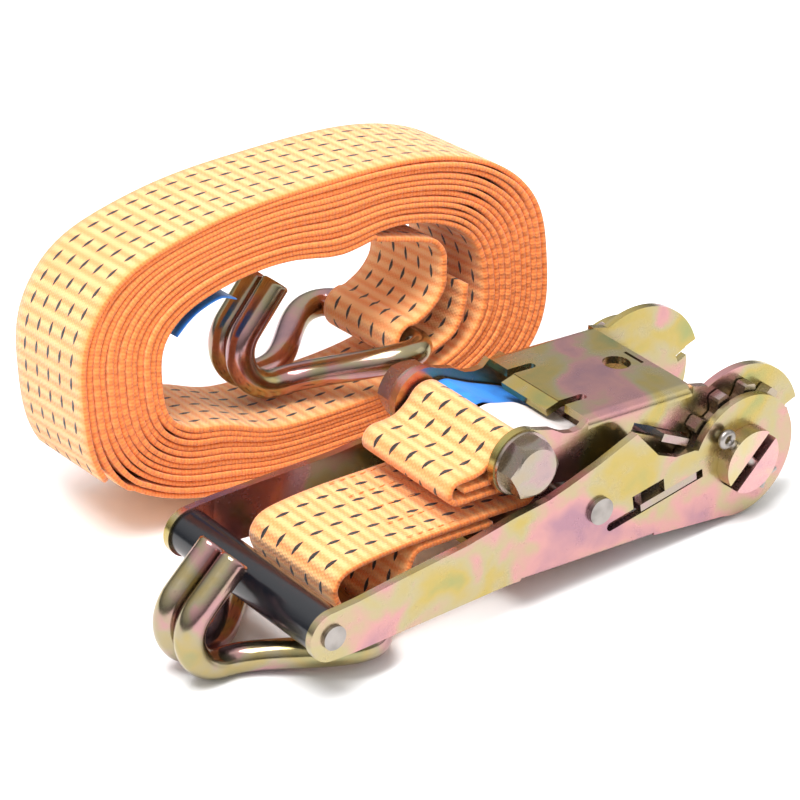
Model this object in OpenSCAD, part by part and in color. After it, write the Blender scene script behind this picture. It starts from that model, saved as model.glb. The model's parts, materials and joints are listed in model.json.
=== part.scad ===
// Ratchet tie down for 50 mm webbing, stored as a set.
// A ratchet buckle with its short hooked strap lies closed and upside down, and the long
// hooked strap stands beside it on edge, rolled into an oval coil.
// The ratchet is drawn in its own upright frame (handle grip axis at x = 0, side view in XZ)
// and set down on the floor by one turn about the spindle. Millimetres, +Z up.

/* [Placing] */
// how far the grip end is lifted by the hook lying under it
ratchet_tilt = 4.8; // [0:0.1:10]
// spindle axis from the middle of the set, along X
spindle_row_x = 97.47; // [60:0.01:120]
// ratchet centre plane from the middle of the set, along Y
ratchet_row_y = -47.86; // [-80:0.01:0]
// coil centre from the spindle axis, along X
coil_back = 101.3; // [60:0.1:140]
// coil front face from the ratchet centre plane
coil_gap = 80.1; // [60:0.1:120]
// turn of the coil about the vertical
coil_yaw = -3.9; // [-15:0.1:15]
// lean of the coil away from the ratchet
coil_lean = 6.9; // [0:0.1:15]

/* [Handle] */
// grip axis to spindle axis
handle_l = 191; // [120:1:220]
// height of the spindle axis over the handle's underside
spindle_z = 24; // [20:0.1:30]
// outside width across the arms at the grip
grip_span = 87; // [70:0.5:100]
// outside width across the arms at the spindle
spindle_span = 77.4; // [70:0.1:90]
// sheet thickness of handle and frame
plate_t = 3; // [2:0.1:4]
// height of the grip axis over the handle's underside
grip_z = 9.5; // [8:0.1:14]
// radius of the round arm ends
arm_end_r = 9.5; // [8:0.1:12]
// radius of the discs round the spindle
disc_r = 24.5; // [20:0.1:28]
// front edge of the handle's cross web
web_front_x = 86; // [70:1:110]
// rear edge of the handle's cross web
web_rear_x = 150; // [120:1:160]
// underside of the handle's cross web
web_z = 2.5; // [0:0.1:6]
// radius of the grip sleeve
grip_r = 8.5; // [7:0.1:11]
// radius of the grip rod
rod_r = 4; // [3:0.1:5]
// cross rod ahead of the drive pawl, along X
cross_x = 121.6; // [110:0.1:130]
// cross rod height
cross_z = 21.2; // [15:0.1:25]
// radius of the cross rod
cross_r = 3.5; // [2.5:0.1:4]
// radius of the cross rod's rivet heads
cross_head_r = 5.2; // [4:0.1:6]

/* [Ratchet] */
// teeth on each ratchet wheel
teeth = 12; // [10:1:16]
// radius over the teeth
tip_r = 27; // [25:0.1:30]
// radius between the teeth
root_r = 20.8; // [18:0.1:24]
// thickness of a ratchet wheel
wheel_t = 5; // [3:0.1:6]
// radius of the spindle made by its two halves
spindle_r = 12.5; // [10:0.1:14]
// slot between the two halves
slot_w = 5; // [4:0.1:6]
// half length of the spindle
spindle_half_l = 44.5; // [40:0.1:50]
// direction of the slot in side view
slot_dir = 47; // [0:1:180]
// radius of a cotter pin
cotter_r = 2; // [1.5:0.1:2.5]
// direction of the drive pawl's slot
drive_dir = 13; // [0:1:30]
// height of that slot's line over the spindle axis
drive_offset = 3; // [0:0.1:5]
// thickness of the pawls
pawl_t = 3; // [2:0.1:4]
// tip of the lock pawl from the spindle axis, when drawn back
lock_tip_r = 27.7; // [22:0.1:32]

/* [Frame] */
// clear width between the side plates
frame_gap = 52.6; // [51:0.1:56]
// height of the web's outer face
frame_top_z = 53.5; // [45:0.1:60]
// front end of the full-width web
frame_web_front_x = 121; // [118:1:130]
// rear end of the web
frame_web_rear_x = 171; // [160:1:175]
// radius of the hole in the web
web_hole_r = 5.3; // [4:0.1:6]
// anchor bolt axis along X
bolt_x = 90.3; // [80:0.1:100]
// anchor bolt axis height
bolt_z = 44.9; // [40:0.1:50]
// radius of the anchor bolt
bolt_r = 6; // [5:0.5:8]
// width across flats of head and nut
bolt_af = 19; // [17:1:24]

/* [Webbing and hooks] */
// webbing width
strap_w = 50; // [25:1:75]
// webbing thickness
strap_t = 2.5; // [1.5:0.1:4]
// half length of the coil
coil_a = 102.3; // [80:0.1:120]
// half height of the coil
coil_b = 57.5; // [40:0.1:70]
// half length of the hole in the coil
hole_a = 67; // [50:0.1:80]
// half height of the hole in the coil
hole_b = 30; // [20:0.1:40]
// radius of the hook wire
wire_r = 5.5; // [4:0.1:7]
// centreline radius of the hook's bend
bend_r = 14.5; // [10:0.1:20]
// hook bend centre behind its crossbar
bend_back = 50.5; // [35:0.5:60]
// hook bend centre above its crossbar
bend_up = 7.2; // [0:0.1:15]
// straight end of each hook prong
prong_l = 21; // [8:0.5:25]

/* [Hidden] */
$fn = 64;
eps = 0.01;
run_fit = 0.06;
gap_dir = 187;
lock_dir = gap_dir - 360 / teeth;
arm_out = spindle_span / 2;
arm_in = arm_out - plate_t;
frame_in = frame_gap / 2;
frame_out = frame_in + plate_t;
wheel_y = frame_out + 0.5;
crossbar_short = [33, -7.3];
crossbar_long = [38, -17.4];
grip_out = grip_span / 2;
washer_t = 1.6;
grip_head_t = 1.2;
cross_head_t = 1.6;
ribbon_t = 0.8;
through = 50;
hole_drop = 1.5;
zinc = [0.78, 0.72, 0.5];
zinc_dark = [0.6, 0.58, 0.5];
webbing = [1, 0.55, 0.25];

// placing

module ratchet_place() {
    translate([spindle_row_x, ratchet_row_y, tip_r - 0.25])
        rotate([0, ratchet_tilt, 0])
            translate([-handle_l, 0, -spindle_z])
                children();
}

module coil_place() {
    rise = coil_b * cos(coil_lean) + strap_w * sin(coil_lean);
    translate([spindle_row_x - coil_back, ratchet_row_y + coil_gap, rise])
        rotate([0, 0, coil_yaw])
            rotate([-coil_lean, 0, 0])
                children();
}

// shared shapes

// side-view shape (x, z) given thickness between two Y positions
module side(y0, y1) {
    translate([0, y1, 0])
        rotate([90, 0, 0])
            linear_extrude(y1 - y0)
                children();
}

// round bar along Y
module bar(x, z, r, y0, y1) {
    translate([x, y0, z])
        rotate([-90, 0, 0])
            cylinder(r = r, h = y1 - y0);
}

// box between two corners
module block(a, b) {
    translate(a)
        cube(b - a);
}

// point at a radius and angle about the spindle, in side view
function about_spindle(r, a) = [handle_l + r * cos(a), spindle_z + r * sin(a)];

// ring pile that stands for a small coil spring, along +X from the origin
module coil_spring(l, r, wire, turns) {
    for (i = [0 : turns - 1])
        translate([wire + i * (l - 2 * wire) / (turns - 1), 0, 0])
            rotate([0, 90, 0])
                rotate_extrude($fn = 24)
                    translate([r - wire, 0])
                        circle(r = wire, $fn = 16);
}

// handle

module arm_profile() {
    translate([0, grip_z])
        circle(r = arm_end_r);
    translate([handle_l, spindle_z])
        circle(r = disc_r);
    polygon([[0, grip_z - arm_end_r], [80, web_z], [web_rear_x, web_z],
        [handle_l, 0], [handle_l, spindle_z], [166, 33], [157, 32.8], [148, 36],
        [136.5, 47.5], [119.7, 40.1], [106, 35], [97, 32], [60, 25.6], [28, 22.2],
        [0, grip_z + arm_end_r]]);
}

// plan-view strip of one flared arm and its straight grip end
module arm_plan() {
    front = -arm_end_r - 1;
    flare_from = 10;
    flare_to = web_front_x - 4;
    rear = web_front_x + 1;
    polygon([[front, grip_out], [flare_from, grip_out], [flare_to, arm_out], [rear, arm_out],
        [rear, arm_in], [flare_to, arm_in], [flare_from, grip_out - plate_t],
        [front, grip_out - plate_t]]);
}

// channel section (y, z) with rounded lower corners
module channel_section(bend) {
    h = 60;
    difference() {
        union() {
            translate([-arm_out, web_z + bend])
                square([2 * arm_out, h]);
            translate([-arm_out + bend, web_z])
                square([2 * (arm_out - bend), h]);
            for (s = [-1, 1])
                translate([s * (arm_out - bend), web_z + bend])
                    circle(r = bend);
        }
        translate([-arm_in, web_z + plate_t])
            square([2 * arm_in, h]);
    }
}

// slot that guides the drive pawl, with the window that its spring sits in
module drive_slot() {
    slot_h = pawl_t + 0.6;
    slot_from = 20.3;
    slot_to = 66.3;
    window_from = 38.5;
    window_l = 15;
    window_h = 9;
    pawl_line() {
        translate([slot_from, -slot_h / 2])
            square([slot_to - slot_from - slot_h / 2, slot_h]);
        translate([slot_to - slot_h / 2, 0])
            circle(r = slot_h / 2);
        translate([window_from, -slot_h / 2 + eps])
            square([window_l, window_h]);
    }
}

// side-view frame of the drive pawl: x runs from the spindle towards the grip
module pawl_line() {
    translate([handle_l, spindle_z + drive_offset])
        rotate(180 + drive_dir)
            mirror([0, 1])
                children();
}

module handle_frame() {
    color(zinc) difference() {
        union() {
            intersection() {
                side(-arm_out, arm_out)
                    arm_profile();
                translate([web_front_x, 0, 0])
                    rotate([90, 0, 90])
                        linear_extrude(web_rear_x - web_front_x)
                            channel_section(1.5);
            }
            intersection() {
                side(-grip_out, grip_out)
                    arm_profile();
                translate([0, 0, -5])
                    linear_extrude(60) {
                        arm_plan();
                        mirror([0, 1])
                            arm_plan();
                    }
            }
            for (s = [-1, 1]) {
                intersection() {
                    side(min(s * arm_in, s * arm_out), max(s * arm_in, s * arm_out))
                        arm_profile();
                    block([web_rear_x, -arm_out, -1], [handle_l + disc_r + 1, arm_out, 60]);
                }
                arm_tab(s);
            }
        }
        bar(handle_l, spindle_z, spindle_r + run_fit, -through, through);
        bar(0, grip_z, rod_r + 0.03, -through, through);
        bar(cross_x, cross_z, cross_r + 0.03, -through, through);
        side(-through, through)
            drive_slot();
    }
}

// lip bent inwards on the arm's sloping shoulder
module arm_tab(s) {
    reach = 3.2;
    tab_w = 5.2;
    y0 = s > 0 ? arm_in - reach : -arm_out + 1;
    side(y0, y0 + tab_w)
        polygon([[138.6, 45.4], [146.8, 37.2], [144.9, 35.3], [136.7, 43.5]]);
}

module grip_sleeve() {
    color([0.05, 0.05, 0.06]) difference() {
        bar(0, grip_z, grip_r, 0.2 - grip_out + plate_t, grip_out - plate_t - 0.2);
        bar(0, grip_z, rod_r + 0.05, -through, through);
    }
}

module grip_rod() {
    end = grip_out + grip_head_t;
    color([0.6, 0.62, 0.64]) {
        bar(0, grip_z, rod_r, -grip_out, grip_out);
        for (s = [-1, 1])
            bar(0, grip_z, rod_r + 0.6, s > 0 ? grip_out : -end, s > 0 ? end : -grip_out);
    }
}

module cross_rod() {
    end = arm_out + cross_head_t;
    color([0.7, 0.7, 0.68]) {
        bar(cross_x, cross_z, cross_r, -arm_out, arm_out);
        for (s = [-1, 1])
            bar(cross_x, cross_z, cross_head_r, s > 0 ? arm_out : -end, s > 0 ? end : -arm_out);
    }
}

// drive pawl

module drive_pawl() {
    tip = 23;
    bridge_from = 31.5;
    tail = 50;
    handle_tab_w = 24;
    handle_tab_l = 11;
    ear_h = 8.6;
    clear = 0.3;
    inner = frame_out + 0.5;
    color(zinc_dark) {
        for (s = [-1, 1])
            side(s > 0 ? inner : -arm_out + clear, s > 0 ? arm_out - clear : -inner)
                pawl_line()
                    translate([tip, -pawl_t / 2])
                        square([tail - tip, pawl_t]);
        side(-arm_out + clear, arm_out - clear)
            pawl_line()
                translate([bridge_from, -pawl_t / 2])
                    square([tail - bridge_from, pawl_t]);
        side(-handle_tab_w / 2, handle_tab_w / 2)
            pawl_line()
                translate([tail - 1, -pawl_t / 2])
                    square([handle_tab_l, pawl_t]);
        for (s = [-1, 1])
            side(s > 0 ? inner : -arm_in + clear, s > 0 ? arm_in - clear : -inner)
                pawl_line()
                    translate([tail - pawl_t, 0])
                        square([pawl_t, ear_h]);
    }
}

module drive_spring(s) {
    start = about_spindle(50.6, 180 + drive_dir);
    color([0.25, 0.25, 0.25])
        translate([start[0], s * (frame_out + arm_in) / 2, start[1] + 5.2])
            rotate([0, 180 - drive_dir, 0])
                coil_spring(13, 2.6, 0.5, 7);
}

// frame

module frame_profile() {
    ear = [195, 23.5];
    ear_r = 32.3;
    lobe_r = 30.5;
    difference() {
        union() {
            translate([bolt_x, bolt_z])
                circle(r = 12.5);
            translate([handle_l, spindle_z])
                circle(r = 21);
            intersection() {
                translate(ear)
                    circle(r = ear_r);
                polygon([about_spindle(10, 120), about_spindle(60, 123), about_spindle(60, 60),
                    about_spindle(60, 20), about_spindle(10, 10)]);
            }
            intersection() {
                translate([handle_l, spindle_z])
                    circle(r = lobe_r);
                polygon([about_spindle(0, 0), about_spindle(50, 22), about_spindle(50, -30)]);
            }
            polygon([[bolt_x + 1, bolt_z + 12.4], [99, 55.2], [104, 54], [109.5, 51],
                [114, 50.2], [frame_web_front_x - 3, 50.6], [frame_web_front_x, frame_top_z],
                [frame_web_rear_x, frame_top_z], [178, 52], [handle_l, spindle_z],
                [handle_l - 21, 20], [165, 25.5], [150, 28], [128, 29.5], [104, 32],
                [bolt_x, bolt_z - 12.4]]);
        }
        // catch notch behind the ear
        translate([about_spindle(30, 14)[0], about_spindle(30, 14)[1]])
            rotate(28)
                square([9, 3.4], center = true);
        // guide slot of the lock pawl
        translate([handle_l, spindle_z])
            rotate(lock_dir)
                translate([22.5, -pawl_t / 2 - 0.3])
                    square([30, pawl_t + 0.6]);
    }
}

// section (y, z) of the web and its bends
module frame_section() {
    bend = 4;
    difference() {
        union() {
            translate([-frame_out, 0])
                square([2 * frame_out, frame_top_z - bend]);
            translate([-frame_out + bend, 0])
                square([2 * (frame_out - bend), frame_top_z]);
            for (s = [-1, 1])
                translate([s * (frame_out - bend), frame_top_z - bend])
                    circle(r = bend);
        }
        translate([-frame_in, -1])
            square([frame_gap, frame_top_z - plate_t + 1]);
    }
}

module base_frame() {
    tongue_w = 25;
    tongue_l = 6;
    tongue_drop = 18;
    notch_w = 3.6;
    notch_l = 10.5;
    web_hole_x = 159.5;
    color(zinc) difference() {
        union() {
            intersection() {
                side(-frame_out, frame_out)
                    frame_profile();
                translate([frame_web_front_x, 0, 0])
                    rotate([90, 0, 90])
                        linear_extrude(frame_web_rear_x - frame_web_front_x)
                            frame_section();
            }
            for (s = [-1, 1])
                difference() {
                    side(s > 0 ? frame_in : -frame_out, s > 0 ? frame_out : -frame_in)
                        frame_profile();
                    block([frame_web_front_x, -40, 0], [frame_web_rear_x, 40, 70]);
                }
            translate([frame_web_front_x + 1, -tongue_w / 2, frame_top_z])
                rotate([0, -tongue_drop, 0])
                    translate([-tongue_l - 1, 0, -plate_t])
                        cube([tongue_l + 1, tongue_w, plate_t]);
        }
        bar(handle_l, spindle_z, spindle_r + run_fit, -through, through);
        bar(bolt_x, bolt_z, bolt_r + 0.05, -through, through);
        translate([web_hole_x, 0, frame_top_z - 10])
            cylinder(r = web_hole_r, h = 20);
        // narrow cut across the web behind its hole
        block([167.2, -5, frame_top_z - 5], [168.6, 5, frame_top_z + 5]);
        for (s = [-1, 1])
            translate([frame_web_front_x - 1, s * (tongue_w + notch_w) / 2, frame_top_z - 10]) {
                translate([0, -notch_w / 2, 0])
                    cube([notch_l, notch_w, 20]);
                translate([notch_l, 0, 0])
                    cylinder(r = notch_w / 2, h = 20);
            }
    }
}

// hexagon along Y with its outer corners rounded off, face at y = 0
module hexagon(h) {
    chamfer = 1.4;
    rotate([90, 0, 0])
        intersection() {
            cylinder(r = bolt_af / 2 / cos(30), h = h, $fn = 6);
            union() {
                cylinder(r = bolt_af, h = h - chamfer);
                translate([0, 0, h - chamfer - eps])
                    cylinder(r1 = bolt_af / 2 + 1.7, r2 = bolt_af / 2 - 0.7, h = chamfer + eps);
            }
        }
}

module anchor_bolt() {
    color(zinc_dark) {
        bar(bolt_x, bolt_z, bolt_r, -frame_out - washer_t, frame_out + 13.5);
        translate([bolt_x, -frame_out - washer_t, bolt_z])
            hexagon(7.5);
    }
}

module anchor_nut() {
    color(zinc_dark) difference() {
        translate([bolt_x, frame_out + washer_t, bolt_z])
            mirror([0, 1, 0])
                hexagon(9);
        bar(bolt_x, bolt_z, bolt_r + 0.02, -through, through);
    }
}

module anchor_washer(s) {
    washer_r = 12;
    outer = frame_out + washer_t;
    color(zinc_dark) difference() {
        bar(bolt_x, bolt_z, washer_r, s > 0 ? frame_out : -outer, s > 0 ? outer : -frame_out);
        bar(bolt_x, bolt_z, bolt_r + 0.3, -through, through);
    }
}

// lock pawl

// side-view frame of the lock pawl: x runs from the spindle outwards
module lock_line() {
    translate([handle_l, spindle_z])
        rotate(lock_dir)
            children();
}

module lock_pawl() {
    half = arm_in - 0.5;
    pawl_l = 14;
    tab_w = 16;
    tab_h = 5;
    color(zinc_dark) {
        side(-half, half)
            lock_line()
                translate([lock_tip_r, -pawl_t / 2])
                    square([pawl_l, pawl_t]);
        side(-tab_w / 2, tab_w / 2)
            lock_line()
                translate([lock_tip_r + pawl_l - pawl_t, -pawl_t / 2 - tab_h])
                    square([pawl_t, tab_h + 1]);
    }
}

module lock_spring() {
    start = about_spindle(lock_tip_r + 14.2, lock_dir);
    color([0.25, 0.25, 0.25])
        translate([start[0], 0, start[1]])
            rotate([0, 180 + (180 - lock_dir), 0])
                coil_spring(9, 3, 0.5, 6);
}

// spindle

module spindle_half(s) {
    color([0.62, 0.66, 0.5]) difference() {
        side(-spindle_half_l, spindle_half_l)
            translate([handle_l, spindle_z])
                rotate(slot_dir)
                    intersection() {
                        circle(r = spindle_r);
                        translate([-20, s > 0 ? slot_w / 2 : -20])
                            square([40, 20 - slot_w / 2]);
                    }
        for (y = [-1, 1])
            translate([handle_l, y * cotter_y(), spindle_z])
                rotate([0, -slot_dir, 0])
                    cylinder(r = cotter_r + 0.1, h = 60, center = true);
    }
}

function cotter_y() = (arm_out + spindle_half_l) / 2;

module wheel_tooth() {
    polygon([[root_r - 1, -4.2], [root_r + 1.2, -3.2], [tip_r - 0.8, -2.6], [tip_r, -1.8],
        [tip_r, 1.8], [tip_r - 0.8, 2.6], [root_r + 1.2, 3.2], [root_r - 1, 4.2]]);
}

module ratchet_wheel(s) {
    pitch = 360 / teeth;
    y0 = s > 0 ? wheel_y : -wheel_y - wheel_t;
    color(zinc_dark)
        side(y0, y0 + wheel_t)
            translate([handle_l, spindle_z])
                difference() {
                    union() {
                        circle(r = root_r);
                        for (i = [0 : teeth - 1])
                            rotate(gap_dir + (i + 0.5) * pitch)
                                wheel_tooth();
                    }
                    circle(r = spindle_r + 0.03);
                }
}

module cotter_pin(s) {
    leg = spindle_r + 1.2;
    eye_r = 2.6;
    eye_wire = 1.3;
    leg_splay = 62;
    color([0.75, 0.72, 0.68])
        translate([handle_l, s * cotter_y(), spindle_z])
            rotate([0, -slot_dir, 0]) {
                translate([0, 0, -leg])
                    cylinder(r = cotter_r, h = 2 * leg + 1);
                translate([0, 0, leg + 3])
                    rotate([90, 0, 0])
                        rotate_extrude()
                            translate([eye_r, 0])
                                circle(r = eye_wire, $fn = 24);
                for (t = [-1, 1])
                    translate([0, 0, -leg + 0.4])
                        rotate([0, 180 + t * leg_splay, 0])
                            cylinder(r = 1.2, h = 5);
            }
}

// webbing

// points of a circular arc
function arc(c, r, a0, a1, n) = [for (i = [0 : n]) c + r * [cos(a0 + (a1 - a0) * i / n),
    sin(a0 + (a1 - a0) * i / n)]];

// outline of a ribbon of even thickness that follows an open path
function ribbon(path, t) =
    let (n = len(path),
        side_of = [for (i = [0 : n - 1])
            let (d = path[min(i + 1, n - 1)] - path[max(i - 1, 0)])
                [-d[1], d[0]] / norm(d) * t / 2])
        concat([for (i = [0 : n - 1]) path[i] + side_of[i]],
            [for (i = [n - 1 : -1 : 0]) path[i] - side_of[i]]);

// loose loop that holds the hook's crossbar, in side view
module eye_shape(grow) {
    offset(delta = grow)
        hull() {
            translate(crossbar_short)
                circle(r = wire_r + 0.8, $fn = 32);
            translate([21.5, 13])
                circle(r = 6, $fn = 32);
            translate([43, 16.4])
                circle(r = 5, $fn = 32);
        }
}

module short_strap_eye() {
    color(webbing)
        side(-strap_w / 2, strap_w / 2)
            difference() {
                eye_shape(strap_t);
                eye_shape(0);
            }
}

module short_strap_fold() {
    low = 23.6;
    mid = 32.6;
    high = 41.2;
    front = 67;
    rear = 98;
    path = concat([[50, low - 0.8], [56, low], [rear, low]],
        arc([rear, (low + mid) / 2], (mid - low) / 2, -80, 80, 8),
        [[rear, mid], [front, mid]],
        arc([front, (mid + high) / 2], (high - mid) / 2, 260, 100, 8),
        [[front, high], [76, high + 0.6]]);
    color(webbing)
        side(-strap_w / 2, strap_w / 2)
            polygon(ribbon(path, strap_t));
}

module short_strap_bolt_loop() {
    r_in = bolt_r + 0.4;
    color(webbing)
        side(-strap_w / 2, strap_w / 2)
            translate([bolt_x, bolt_z])
                difference() {
                    union() {
                        circle(r = r_in + strap_t);
                        polygon([[-12.7, -3.3], [-12.7, -0.5], [-5.7, 6.6], [-4.7, 4.7]]);
                        polygon([[2.2, 8.4], [7.7, 8.1], [12.9, 6.6], [12.9, 4.1], [7.7, 5.7], [4.3, 5.3]]);
                    }
                    circle(r = r_in);
                }
}

// flat label that leaves the bolt loop and dips under the web's tongue
module label(y0, y1, drop, l) {
    translate([103.8, 0, 50.2 - drop])
        rotate([0, 19, 0])
            block([0, y0, 0], [l, y1, ribbon_t]);
}

module label_blue() {
    color([0.1, 0.45, 0.85])
        label(2, 24.5, 1.4, 26);
}

module label_white() {
    color([0.95, 0.9, 0.88])
        label(-24.5, 4, 0, 23.5);
}

// oval whose sides are flatter than an ellipse's
function oval(a, b, n) = [for (i = [0 : n - 1])
    let (t = 360 * (i + 0.5) / n, c = cos(t), s = sin(t))
        [a * sign(c) * pow(abs(c), 0.72), b * sign(s) * pow(abs(s), 0.72)]];

module long_strap_coil() {
    color(webbing)
        side(0, strap_w)
            difference() {
                polygon(oval(coil_a, coil_b, 120));
                translate([0, -hole_drop])
                    polygon(oval(hole_a, hole_b, 96));
            }
}

// ribbon sewn under the innermost turn, with its end hanging loose
module coil_label() {
    path = [[-62, 14], [-56, 18.6], [-50, 21.4], [-42, 23.2], [-37, 21.8]];
    color([0.1, 0.45, 0.85])
        side(1, 27)
            polygon(ribbon(path, ribbon_t));
}

module long_strap_eye() {
    wrap = wire_r + 0.8 + strap_t / 2;
    path = concat([[28, 23], [37, 23.2]],
        arc([44.5, 11.9], 10.3, 85, -15, 8),
        [[53, 0], [47, -6]],
        arc(crossbar_long, wrap, 80, 290, 14),
        [[47, -22], [56, -17.5], [61, -9]]);
    color(webbing)
        side(0, strap_w)
            polygon(ribbon(path, strap_t));
}

// hooks

// smooth curve between two points with set end directions
function bezier(p, n) = [for (i = [1 : n - 1])
    let (t = i / n, u = 1 - t)
        u * u * u * p[0] + 3 * u * u * t * p[1] + 3 * u * t * t * p[2] + t * t * t * p[3]];

// half of the wire's centreline, from a prong's tip to the crossbar's middle
function hook_half(s) =
    let (y = s * (wire_r + 0.8),
        half = strap_w / 2 + 2.5 + wire_r,
        corner = 8,
        a = 137,
        centre = [-bend_back, bend_up],
        start = centre + bend_r * [cos(a), sin(a)])
        concat(
            [for (k = [1, 0.5]) [start[0] + k * prong_l * sin(a), y, start[1] - k * prong_l * cos(a)]],
            [for (q = arc(centre, bend_r, a, 270, 16)) [q[0], y, q[1]]],
            bezier([[-bend_back, y, bend_up - bend_r], [-bend_back + 17, y, bend_up - bend_r],
                [-corner - 16, s * half, 0], [-corner, s * half, 0]], 14),
            [for (q = arc([-corner, half - corner], corner, 90, 0, 7)) [q[0], s * q[1], 0]],
            [[0, s * (half - corner) / 2, 0]]);

function reversed(v) = [for (i = [len(v) - 1 : -1 : 0]) v[i]];

function unit(v) = v / norm(v);

// round wire of radius r swept along a path of 3D points
module wire(path, r, sides) {
    n = len(path);
    tangent = [for (i = [0 : n - 1]) unit(path[min(i + 1, n - 1)] - path[max(i - 1, 0)])];
    normal = [for (i = 0, v = [0, 1, 0]; i < n;
        i = i + 1, v = i < n ? unit(v - (v * tangent[i]) * tangent[i]) : v) v];
    points = [for (i = [0 : n - 1])
        for (k = [0 : sides - 1])
            path[i] + r * (cos(360 * k / sides) * normal[i]
                + sin(360 * k / sides) * cross(tangent[i], normal[i]))];
    ring_faces = [for (i = [0 : n - 2])
        for (k = [0 : sides - 1])
            let (m = (k + 1) % sides)
                [i * sides + k, (i + 1) * sides + k, (i + 1) * sides + m, i * sides + m]];
    caps = [[for (k = [0 : sides - 1]) k],
        [for (k = [sides - 1 : -1 : 0]) (n - 1) * sides + k]];
    polyhedron(points = points, faces = concat(ring_faces, caps), convexity = 6);
}

module hook() {
    color(zinc)
        wire(concat(hook_half(1), [[0, 0, 0]], reversed(hook_half(-1))), wire_r, 18);
}

module short_hook() {
    translate([crossbar_short[0], 1, crossbar_short[1]])
        hook();
}

module long_hook() {
    translate([crossbar_long[0], strap_w / 2, crossbar_long[1]])
        hook();
}

// nodes

ratchet_place() handle_frame();
ratchet_place() grip_sleeve();
ratchet_place() grip_rod();
ratchet_place() cross_rod();
ratchet_place() drive_pawl();
ratchet_place() drive_spring(-1);  // drive_spring_near
ratchet_place() drive_spring(1);  // drive_spring_far
ratchet_place() base_frame();
ratchet_place() anchor_bolt();
ratchet_place() anchor_nut();
ratchet_place() anchor_washer(-1);  // anchor_washer_near
ratchet_place() anchor_washer(1);  // anchor_washer_far
ratchet_place() lock_pawl();
ratchet_place() lock_spring();
ratchet_place() spindle_half(1);  // spindle_half_upper
ratchet_place() spindle_half(-1);  // spindle_half_lower
ratchet_place() ratchet_wheel(-1);  // ratchet_wheel_near
ratchet_place() ratchet_wheel(1);  // ratchet_wheel_far
ratchet_place() cotter_pin(-1);  // cotter_pin_near
ratchet_place() cotter_pin(1);  // cotter_pin_far
ratchet_place() short_strap_eye();
ratchet_place() short_strap_fold();
ratchet_place() short_strap_bolt_loop();
ratchet_place() label_blue();
ratchet_place() label_white();
ratchet_place() short_hook();
coil_place() long_strap_coil();
coil_place() long_strap_eye();
coil_place() coil_label();
coil_place() long_hook();
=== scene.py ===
import json
import math
import random

import bmesh
import bpy
import numpy as np
from mathutils import Matrix, Vector


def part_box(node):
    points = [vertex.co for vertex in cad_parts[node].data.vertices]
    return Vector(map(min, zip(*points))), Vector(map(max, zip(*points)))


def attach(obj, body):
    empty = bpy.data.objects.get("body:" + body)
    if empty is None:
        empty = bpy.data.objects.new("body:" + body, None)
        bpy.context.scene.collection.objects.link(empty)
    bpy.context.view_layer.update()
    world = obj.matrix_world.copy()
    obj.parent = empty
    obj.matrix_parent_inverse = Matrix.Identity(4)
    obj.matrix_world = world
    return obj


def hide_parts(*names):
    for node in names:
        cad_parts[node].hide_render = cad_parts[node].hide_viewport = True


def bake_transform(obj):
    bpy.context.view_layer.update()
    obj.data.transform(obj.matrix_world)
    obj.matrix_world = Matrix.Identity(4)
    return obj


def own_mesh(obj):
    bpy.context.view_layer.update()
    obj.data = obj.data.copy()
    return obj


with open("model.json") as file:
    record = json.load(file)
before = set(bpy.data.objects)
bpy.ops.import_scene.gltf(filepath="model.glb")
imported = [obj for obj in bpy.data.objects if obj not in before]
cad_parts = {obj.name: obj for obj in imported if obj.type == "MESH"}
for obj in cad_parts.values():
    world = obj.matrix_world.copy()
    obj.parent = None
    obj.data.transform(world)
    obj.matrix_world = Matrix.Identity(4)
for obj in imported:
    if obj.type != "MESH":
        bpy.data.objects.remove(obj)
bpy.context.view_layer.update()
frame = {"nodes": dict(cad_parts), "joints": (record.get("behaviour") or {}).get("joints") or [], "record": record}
nodes = frame["nodes"]
joints = {joint["name"]: joint for joint in frame["joints"]}
mm = 0.001

camera = {
    "place": (-0.69165, -0.89528, 0.69970),
    "right": (0.78898, -0.61442, 0.0),
    "up": (0.30759, 0.39497, 0.86568),
    "back": (-0.53189, -0.68300, 0.50060),
    "lens": 160.6,
    "sensor": 36.0,
    "reach": 20,
}


def makeCamera():
    data = bpy.data.cameras.new("camera")
    data.lens = camera["lens"]
    data.sensor_width = camera["sensor"]
    data.clip_end = camera["reach"]
    shot = bpy.data.objects.new("camera", data)
    bpy.context.scene.collection.objects.link(shot)
    turn = Matrix((camera["right"], camera["up"], camera["back"])).transposed()
    shot.matrix_world = Matrix.Translation(camera["place"]) @ turn.to_4x4()
    bpy.context.scene.camera = shot


makeCamera()
print("camera set")


# Pieces are drawn in two frames, which are worked out from the joints.
# ratchet: x runs from the grip to the spindle and z up, in mm; the spindle is at (191, 24)
ratchet = {"spindleX": 191.0, "spindleZ": 24.0, "boltX": 90.3, "boltZ": 44.9}
# coil: u along it, d from its front face to its back, v up, in mm, from the front face's centre
coilSpot = {"barU": 38.0, "barD": 25.0, "barV": -17.4}

spindleAt = Vector(joints["frame_swing"]["pos_m"])
ratchetUp = Vector(frame["record"]["mounts"][0]["axis"]).normalized()
ratchetAlong = Vector((0, 1, 0)).cross(ratchetUp)
coilDepth = Vector(joints["long_hook_swing"]["axis"]).normalized()
coilAlong = Vector((-coilDepth.y, coilDepth.x, 0)).normalized() * -1
coilUp = coilAlong.cross(coilDepth)
barAt = Vector(joints["long_hook_swing"]["pos_m"])


def onRatchet(x, y, z):
    along = ratchetAlong * ((x - ratchet["spindleX"]) * mm)
    up = ratchetUp * ((z - ratchet["spindleZ"]) * mm)
    return spindleAt + along + up + Vector((0, y * mm, 0))


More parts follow.
